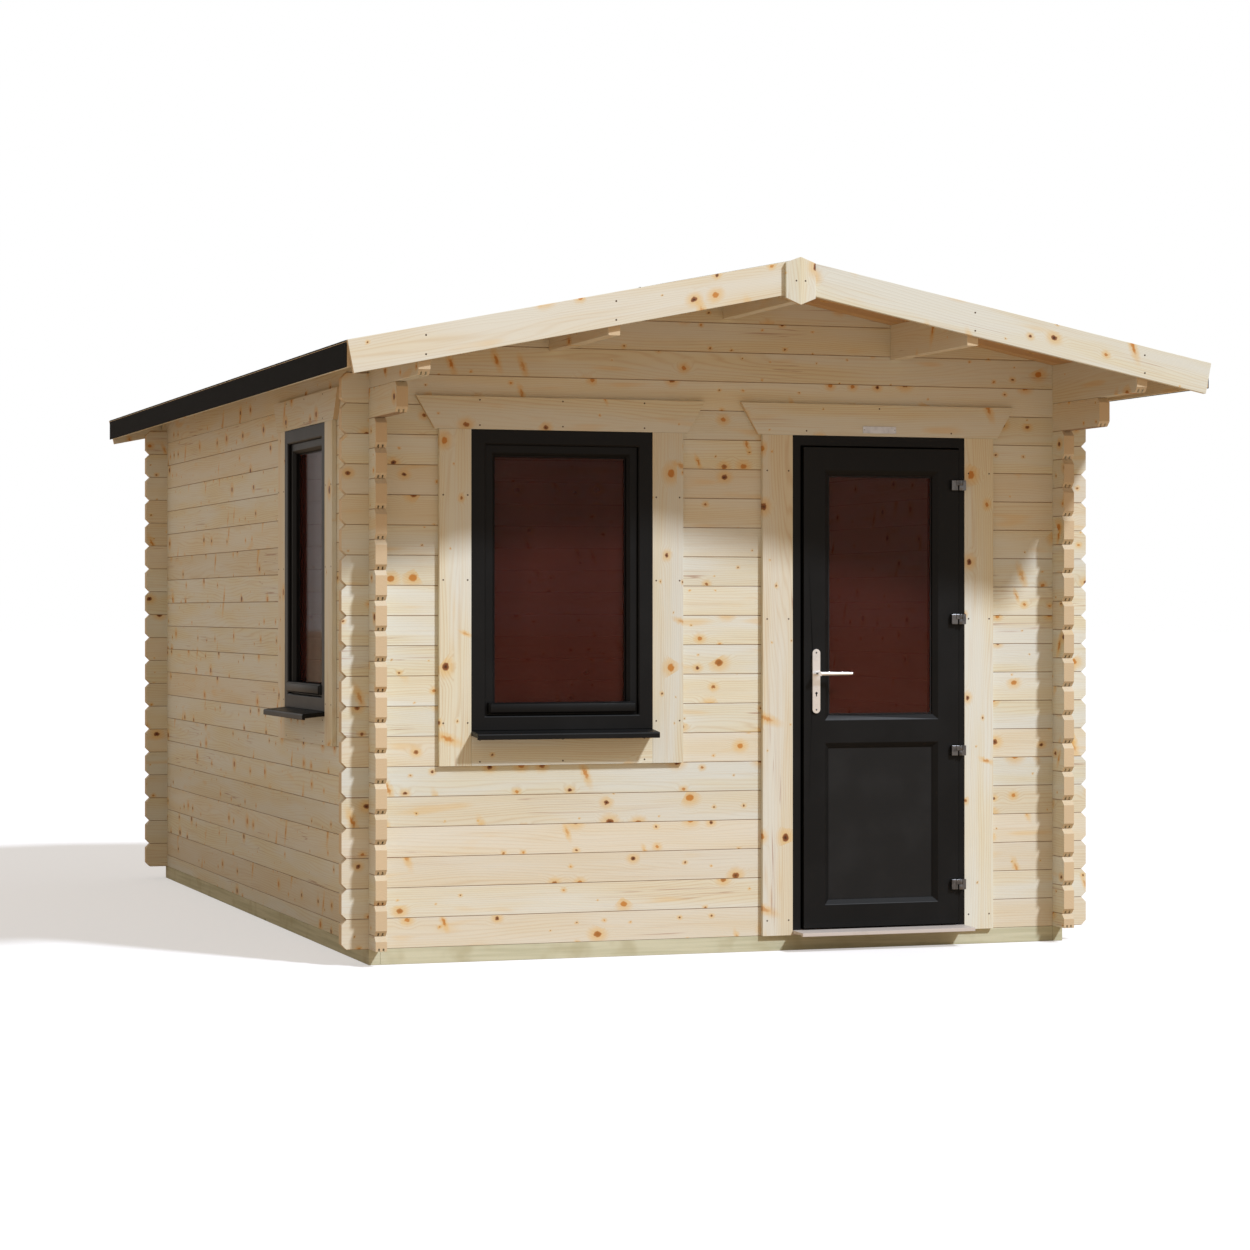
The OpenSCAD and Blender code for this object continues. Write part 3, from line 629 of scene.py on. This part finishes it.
# ---------------------------------------------------------------- nails in the trim
def front_nails():
    lo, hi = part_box("front_window_trim")
    frame_lo, frame_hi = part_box("front_window_frame")
    y = lo.y
    side_l = (frame_lo.x - 0.126 / 2)
    side_r = (frame_hi.x + 0.126 / 2)
    spots = []
    for x in (side_l, side_r):
        for z in (frame_lo.z + 0.03, frame_hi.z - 0.25, (frame_lo.z + frame_hi.z) / 2):
            spots += [(x - 0.048, y, z), (x + 0.048, y, z)]
    mid_x = (frame_lo.x + frame_hi.x) / 2
    for x in (mid_x - 0.33, mid_x, mid_x + 0.33):
        spots += [(x, y, frame_lo.z - 0.035), (x, y, frame_lo.z - 0.118)]
    for x in (mid_x - 0.33, mid_x, mid_x + 0.33):
        spots += [(x, y, frame_hi.z + 0.112), (x, y, frame_hi.z + 0.016)]
    heads("front_window_nails", spots, (0, -1, 0), 0.0032, 0.0010, NAIL)

    lo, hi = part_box("door_trim")
    frame_lo, frame_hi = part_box("door_frame")
    spots = []
    for x in (frame_lo.x - 0.063, frame_hi.x + 0.063):
        for z in (frame_lo.z + 0.04, (frame_lo.z + frame_hi.z) / 2 + 0.25, frame_hi.z - 0.14):
            spots += [(x - 0.045, lo.y, z), (x + 0.045, lo.y, z)]
    mid_x = (frame_lo.x + frame_hi.x) / 2
    spots += [(mid_x, lo.y, frame_hi.z + 0.11), (mid_x - 0.31, lo.y, frame_hi.z + 0.018)]
    spots += [(mid_x + 0.31, lo.y, frame_hi.z + 0.018)]
    heads("door_trim_nails", spots, (0, -1, 0), 0.0032, 0.0010, NAIL)


def left_nails():
    lo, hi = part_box("left_window_trim")
    frame_lo, frame_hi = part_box("left_window_frame")
    spots = []
    for y in (frame_lo.y - 0.063, frame_hi.y + 0.063):
        for z in (frame_lo.z + 0.03, frame_hi.z - 0.25, (frame_lo.z + frame_hi.z) / 2):
            spots += [(lo.x, y - 0.048, z), (lo.x, y + 0.048, z)]
    mid_y = (frame_lo.y + frame_hi.y) / 2
    for y in (mid_y - 0.33, mid_y, mid_y + 0.33):
        spots += [(lo.x, y, frame_lo.z - 0.035), (lo.x, y, frame_lo.z - 0.118)]
        spots += [(lo.x, y, frame_hi.z + 0.112), (lo.x, y, frame_hi.z + 0.016)]
    heads("left_window_nails", spots, (-1, 0, 0), 0.0032, 0.0010, NAIL)


def roof_under(x):
    """Height of the roof boards' underside at a distance from the middle."""
    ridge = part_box("roof_left")[1].z
    return ridge - 0.0194 - abs(x - MID_X) * SLOPE


def gable_nails():
    """Pairs of nails where the bargeboards cross the purlins and the wall plates."""
    for name, facing in (("bargeboards_front", -1), ("bargeboards_back", 1)):
        lo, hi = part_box(name)
        y = lo.y if facing < 0 else hi.y
        spots = []
        for x in (LEFT + 0.022, (LEFT + 0.022 + MID_X) / 2, (RIGHT - 0.022 + MID_X) / 2, RIGHT - 0.022):
            middle = roof_under(x) - 0.045
            spots += [(x, y, middle + 0.034), (x, y, middle - 0.034)]
        heads(name.replace("boards", "board") + "_nails", spots, (0, facing, 0), 0.0034, 0.0010, NAIL)
        cap_lo, cap_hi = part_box("ridge_caps")
        cap_y = cap_lo.y if facing < 0 else cap_hi.y
        z = (cap_lo.z + cap_hi.z) / 2
        spots = [(MID_X - 0.018, cap_y, z), (MID_X + 0.018, cap_y, z)]
        heads("ridge_cap_nails_" + ("front" if facing < 0 else "back"), spots, (0, facing, 0), 0.0034, 0.0006,
              NAIL, sink=0.0006)


# ---------------------------------------------------------------- boards
def select_faces(piece, test):
    """Selects the faces that pass the test, ready for edit mode operators."""
    bpy.context.view_layer.objects.active = piece
    bpy.ops.object.mode_set(mode="EDIT")
    bpy.ops.mesh.select_mode(type="FACE")
    bpy.ops.mesh.select_all(action="DESELECT")
    bpy.ops.object.mode_set(mode="OBJECT")
    for face in piece.data.polygons:
        face.select = test(face)
    bpy.ops.object.mode_set(mode="EDIT")


def plank_row(name, low, high, pitch, bevel):
    """Boards laid side by side along Y from low to high, with bevelled long edges."""
    count = round((high[1] - low[1]) / pitch)
    width = (high[1] - low[1]) / count
    gap = 0.0008
    one = start_box(name, low, (high[0], low[1] + width - gap, high[2]))
    modify(one, "BEVEL", width=bevel, segments=1, limit_method="ANGLE")
    return join(copies(one, [Vector((0, width * i, 0)) for i in range(count)]), name), width


def roof_boards():
    for side, name in ((-1, "roof_left"), (1, "roof_right")):
        lo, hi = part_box(name)
        length = (hi.x - lo.x) * math.sqrt(1 + SLOPE * SLOPE)
        thick = 0.019
        outer = lo.x if side < 0 else hi.x
        # laid flat from the eave inward, then tipped up about the eave's lower edge
        eave_z = lo.z
        near, far = (outer, outer + length) if side < 0 else (outer - length, outer)
        row, width = plank_row(name + "_boards", (near, lo.y, eave_z), (far, hi.y, eave_z + thick), 0.0945, 0.0022)
        angle = math.atan(SLOPE) * side
        pivot = Matrix.Translation((outer, 0, eave_z))
        row.data.transform(pivot @ Matrix.Rotation(angle, 4, "Y") @ pivot.inverted())
        lay = plank_lay(width, lo.y, "y", "x")
        # the roof boards take the darker tones: painted shade under the eaves
        material = pine(name + "_boards", lay, knots=0.5, tone=SOFFIT_PAINTED_SHADE, deep=1.1)
        finished(row, material, "cabin")
        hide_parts(name)


def floor_boards():
    lo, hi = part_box("floor_deck")
    row, width = plank_row("floor_boards", lo, hi, 0.094, 0.0016)
    finished(row, pine("floor_boards", plank_lay(width, lo.y, "y", "x"), knots=0.5), "cabin")
    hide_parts("floor_deck")


# ---------------------------------------------------------------- felt
def felt_strips():
    """Lapped strips of felt with a row of clout nails along each lap."""
    for side, name in ((-1, "felt_left"), (1, "felt_right")):
        lo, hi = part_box(name)
        outer = lo.x if side < 0 else hi.x
        angle = math.atan(SLOPE) * side
        top_z = hi.z
        y0, y1 = lo.y + 0.03, hi.y - 0.03

        def at(distance, rise):
            """A point that far down from the ridge on the felt's face."""
            x = MID_X + side * distance * math.cos(abs(angle))
            return x, top_z - distance * math.sin(abs(angle)) + rise

        for number, (start, end) in enumerate(((0.004, 0.62), (0.545, 1.22))):
            start_x, start_z = at(start, 0.0005)
            end_x, end_z = at(end, 0.0005)
            lift = 0.0020 if number == 0 else 0.0002
            clear_selection()
            bpy.ops.mesh.primitive_grid_add(x_subdivisions=12, y_subdivisions=60, size=1)
            strip = bpy.context.object
            for vertex in strip.data.vertices:
                share = vertex.co.x + 0.5
                run = vertex.co.y + 0.5
                near_edge = max(0.0, share - 0.8) * 5
                wave = math.sin(run * 46.0 + side) * 0.0006 * near_edge
                vertex.co.x = start_x + (end_x - start_x) * share
                vertex.co.y = y0 + (y1 - y0) * run
                vertex.co.z = start_z + (end_z - start_z) * share + lift + wave
            strip.name = name + "_strip_" + str(number + 1)
            modify(strip, "SOLIDIFY", thickness=0.0018, offset=1)
            finished(strip, FELT, "cabin", smooth=50)
        nails = []
        count = 66
        for number in range(count):
            y = y0 + 0.04 + (y1 - y0 - 0.08) * number / (count - 1)
            x, z = at(0.60, 0.0044)
            nails.append((x, y, z))
        normal = (side * math.sin(abs(angle)), 0, math.cos(angle))
        heads(name + "_lap_nails", nails, normal, 0.0045, 0.0012, GALVANISED)
        edge = []
        for number in range(40):
            y = y0 + 0.05 + (y1 - y0 - 0.1) * number / 39
            edge.append((outer, y, lo.z + 0.022))
        heads(name + "_edge_nails", edge, (side, 0, 0), 0.0045, 0.0010, GALVANISED,
              sink=0.0016)


# ---------------------------------------------------------------- window and door details
def weather_bar(name, frame_node, sideways):
    """The sloping bar along the foot of a window's sash."""
    lo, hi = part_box(frame_node)
    base, top = lo.z + 0.063, lo.z + 0.106
    if sideways:
        bar = start_box(name, (lo.x - 0.001, lo.y + 0.067, base), (lo.x + 0.03, hi.y - 0.067, top))
        outward = Vector((-1, 0, 0))
    else:
        bar = start_box(name, (lo.x + 0.067, lo.y - 0.001, base), (hi.x - 0.067, lo.y + 0.03, top))
        outward = Vector((0, -1, 0))
    select_faces(bar, lambda face: face.normal.dot(outward) > 0.9)
    bpy.ops.mesh.inset(thickness=0.006)
    bpy.ops.transform.translate(value=outward * 0.007)
    bpy.ops.mesh.extrude_region_move(TRANSFORM_OT_translate={"value": outward * 0.003})
    bpy.ops.object.mode_set(mode="OBJECT")
    modify(bar, "BEVEL", width=0.0014, segments=2, limit_method="ANGLE")
    finished(bar, BLACK, "cabin", smooth=35)


def seal_ring(name, low, high, body, axis, out):
    """A thin rubber seal round a pane, lying in the plane across axis."""
    clear_selection()
    low, high = Vector(low), Vector(high)
    ring = start_box(name, low, high)
    select_faces(ring, lambda face: abs(face.normal[axis]) > 0.9)
    bpy.ops.mesh.inset(thickness=0.0045, use_individual=True)
    bpy.ops.mesh.bridge_edge_loops()
    bpy.ops.object.mode_set(mode="OBJECT")
    finished(ring, SEAL, body)


def pane_seals():
    for node, body, axis, side in (("front_window_glass", "cabin", 1, -1), ("left_window_glass", "cabin", 0, -1),
                                   ("door_glass", "door", 1, -1)):
        lo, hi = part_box(node)
        inset = {"door_glass": 0.0125}.get(node, 0.0125)
        low, high = Vector(lo), Vector(hi)
        for other in range(3):
            if other != axis:
                low[other] += inset
                high[other] -= inset
        high[axis] = lo[axis] - 0.0001
        low[axis] = lo[axis] - 0.0016
        seal_ring(node.replace("glass", "seal"), low, high, body, axis, side)


def handle_details():
    """Screws and a keyhole in the outer handle plate."""
    lo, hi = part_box("handle_plates")
    x = (lo.x + hi.x) / 2
    y = lo.y
    spots = [(x, y, lo.z + 0.014), (x, y, hi.z - 0.014)]
    heads("handle_screws", spots, (0, -1, 0), 0.0036, 0.0009, HINGE, body="door")
    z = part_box("lever")[0].z - 0.068
    slit = start_box("keyhole", (x - 0.0024, y - 0.0007, z - 0.013), (x + 0.0024, y + 0.0010, z))
    modify(slit, "BEVEL", width=0.0016, segments=3, limit_method="ANGLE", affect="EDGES")
    eye = button(0.0048, 0.0007, 20)
    turn_to(eye, (0, -1, 0))
    eye.data.transform(Matrix.Translation((x, y, z)))
    finished(join([slit, eye], "keyhole"), SEAL, "door", smooth=40)


def plaque_pins():
    lo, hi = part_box("door_plate")
    z = (lo.z + hi.z) / 2
    spots = [(lo.x + 0.006, lo.y, z), (hi.x - 0.006, lo.y, z)]
    heads("plaque_pins", spots, (0, -1, 0), 0.0018, 0.0008, HINGE)


# ---------------------------------------------------------------- light, floor and background
def stage():
    clear_selection()
    bpy.ops.mesh.primitive_plane_add(size=400, location=(0, 0, -0.0005))
    floor = bpy.context.object
    floor.name = "floor"
    f = Finish("studio_floor")
    path = f.node("ShaderNodeLightPath", {}, {}, ("Is Camera Ray",))[0]
    seen = f.node("ShaderNodeBsdfDiffuse", {}, {"Color": (0.62, 0.62, 0.64, 1)})
    glow = f.node("ShaderNodeEmission", {}, {"Color": (1, 1, 1, 1), "Strength": 0.45})
    both = f.node("ShaderNodeAddShader", {}, {0: seen, 1: glow})
    bounce = f.node("ShaderNodeBsdfDiffuse", {}, {"Color": (0.60, 0.45, 0.31, 1)})
    mixed = f.node("ShaderNodeMixShader", {}, {0: path, 1: bounce, 2: both})
    f.tree.links.new(mixed.socket, f.output.inputs["Surface"])
    floor.data.materials.append(f.material)
    floor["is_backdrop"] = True

    sun_data = bpy.data.lights.new("sun", "SUN")
    sun_data.energy = 2.75
    sun_data.angle = math.radians(5.0)
    sun_data.color = (0.93, 1.0, 1.11)
    sun = bpy.data.objects.new("sun", sun_data)
    bpy.context.scene.collection.objects.link(sun)
    azimuth, height = math.radians(34), math.radians(42.4)
    toward = Vector((math.sin(azimuth) * math.cos(height), -math.cos(azimuth) * math.cos(height),
                     math.sin(height)))
    sun.rotation_euler = toward.to_track_quat("Z", "Y").to_euler()

    world = bpy.data.worlds.new("studio")
    bpy.context.scene.world = world
    world.use_nodes = True
    nodes, links = world.node_tree.nodes, world.node_tree.links
    background = nodes["Background"]
    background.inputs["Color"].default_value = (1.0, 0.87, 0.73, 1)
    background.inputs["Strength"].default_value = 0.46
    white = nodes.new("ShaderNodeBackground")
    white.inputs["Color"].default_value = (1, 1, 1, 1)
    white.inputs["Strength"].default_value = 1.0
    light_path = nodes.new("ShaderNodeLightPath")
    mix = nodes.new("ShaderNodeMixShader")
    shine = nodes.new("ShaderNodeMath")
    shine.operation = "MULTIPLY_ADD"
    shine.inputs[1].default_value = 0.55
    links.new(light_path.outputs["Is Glossy Ray"], shine.inputs[0])
    links.new(light_path.outputs["Is Camera Ray"], shine.inputs[2])
    links.new(shine.outputs[0], mix.inputs[0])
    links.new(background.outputs[0], mix.inputs[1])
    links.new(white.outputs[0], mix.inputs[2])
    links.new(mix.outputs[0], nodes["World Output"].inputs["Surface"])
    bpy.context.scene.view_settings.view_transform = "Standard"


front_nails()
left_nails()
gable_nails()
roof_boards()
floor_boards()
felt_strips()
weather_bar("front_window_weather_bar", "front_window_frame", False)
weather_bar("left_window_weather_bar", "left_window_frame", True)
pane_seals()
handle_details()
plaque_pins()
stage()

sizes = [[list(corner) for corner in pair] for pair in (cad_bounds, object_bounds())]
"\n".join(str(pair) for pair in sizes) + "\n"
